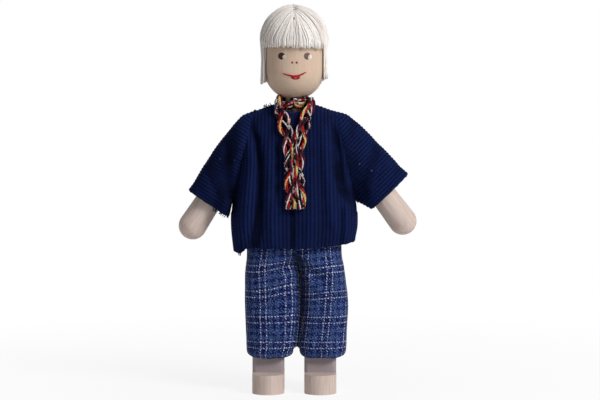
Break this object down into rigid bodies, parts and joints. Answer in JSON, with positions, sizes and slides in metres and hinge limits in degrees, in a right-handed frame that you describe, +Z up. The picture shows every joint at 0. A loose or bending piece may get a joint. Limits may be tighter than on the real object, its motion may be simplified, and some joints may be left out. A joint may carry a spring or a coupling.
{
  "type": "dressed wooden doll",
  "caption": "Small jointed wooden doll with thread hair and a painted face, dressed in a ribbed sweater, checked trousers and a yarn scarf, that stands, sits and turns its head.",
  "frame": {"origin": "on the ground under the middle of the doll as it stands", "axes": "+Z up, the doll faces -Y, its own left side is +X"},
  "size_m": [0.0798, 0.0256, 0.1301],
  "materials": {
    "limb_wood": "satin",
    "dowel_wood": "plain",
    "hair_thread": "thread",
    "ribbed_cloth": "ribbed",
    "checked_cloth": "woven check",
    "scarf_yarn": "twisted yarn",
    "elastic": "covered elastic"
  },
  "bodies": {
    "torso": {"torso": "limb_wood", "neck_peg": "dowel_wood", "shoulder_elastic": "elastic", "shoulder_knots": "elastic", "hip_axle": "dowel_wood", "hip_caps": "dowel_wood", "sweater_front": "ribbed_cloth", "sweater_back": "ribbed_cloth", "trouser_seat": "checked_cloth", "waist_elastic": "elastic", "scarf": "scarf_yarn"},
    "head": {"head": "limb_wood", "hair_fringe": "hair_thread", "hair_back": "hair_thread", "hair_lock_left": "hair_thread", "hair_lock_right": "hair_thread", "parting_stitch": "hair_thread"},
    "knuckle_left": {"shoulder_knuckle_left": "dowel_wood"},
    "arm_left": {"arm_left": "limb_wood", "arm_pins_left": "dowel_wood", "sleeve_left": "ribbed_cloth"},
    "thigh_left": {"thigh_left": "limb_wood", "knee_pin_left": "dowel_wood", "trouser_thigh_left": "checked_cloth"},
    "shin_left": {"shin_left": "limb_wood", "foot_left": "limb_wood", "ankle_peg_left": "dowel_wood", "trouser_shin_left": "checked_cloth"},
    "knuckle_right": {"shoulder_knuckle_right": "dowel_wood"},
    "arm_right": {"arm_right": "limb_wood", "arm_pins_right": "dowel_wood", "sleeve_right": "ribbed_cloth"},
    "thigh_right": {"thigh_right": "limb_wood", "knee_pin_right": "dowel_wood", "trouser_thigh_right": "checked_cloth"},
    "shin_right": {"shin_right": "limb_wood", "foot_right": "limb_wood", "ankle_peg_right": "dowel_wood", "trouser_shin_right": "checked_cloth"}
  },
  "joints": [
    {"name": "neck_turn", "type": "hinge", "parent": "torso", "child": "head", "pos_m": [-0.0011, 0.0003, 0.1], "axis": [0, 0, 1], "range_deg": [-90, 90]},
    {"name": "left_shoulder_swing", "type": "hinge", "parent": "torso", "child": "knuckle_left", "pos_m": [0.0119, 0.0003, 0.088], "axis": [-1, 0, 0], "range_deg": [-45, 90], "deforming": ["sweater_back"]},
    {"name": "left_shoulder_raise", "type": "hinge", "parent": "knuckle_left", "child": "arm_left", "pos_m": [0.0119, 0.0003, 0.088], "axis": [0, -1, 0], "range_deg": [-4, 60], "deforming": ["sleeve_left"]},
    {"name": "right_shoulder_swing", "type": "hinge", "parent": "torso", "child": "knuckle_right", "pos_m": [-0.0141, 0.0003, 0.088], "axis": [-1, 0, 0], "range_deg": [-45, 90], "deforming": ["sweater_front"]},
    {"name": "right_shoulder_raise", "type": "hinge", "parent": "knuckle_right", "child": "arm_right", "pos_m": [-0.0141, 0.0003, 0.088], "axis": [0, 1, 0], "range_deg": [-4, 60], "deforming": ["sleeve_right"]},
    {"name": "left_hip_swing", "type": "hinge", "parent": "torso", "child": "thigh_left", "pos_m": [0.0076, 0.0003, 0.0487], "axis": [-1, 0, 0], "range_deg": [-20, 90], "deforming": ["trouser_thigh_left", "trouser_seat"]},
    {"name": "left_knee_bend", "type": "hinge", "parent": "thigh_left", "child": "shin_left", "pos_m": [0.0076, 0.0003, 0.027], "axis": [1, 0, 0], "range_deg": [0, 90], "deforming": ["trouser_shin_left"]},
    {"name": "right_hip_swing", "type": "hinge", "parent": "torso", "child": "thigh_right", "pos_m": [-0.0098, 0.0003, 0.0487], "axis": [-1, 0, 0], "range_deg": [-20, 90], "deforming": ["trouser_thigh_right"]},
    {"name": "right_knee_bend", "type": "hinge", "parent": "thigh_right", "child": "shin_right", "pos_m": [-0.0098, 0.0003, 0.027], "axis": [1, 0, 0], "range_deg": [0, 90], "deforming": ["trouser_shin_right"]}
  ]
}
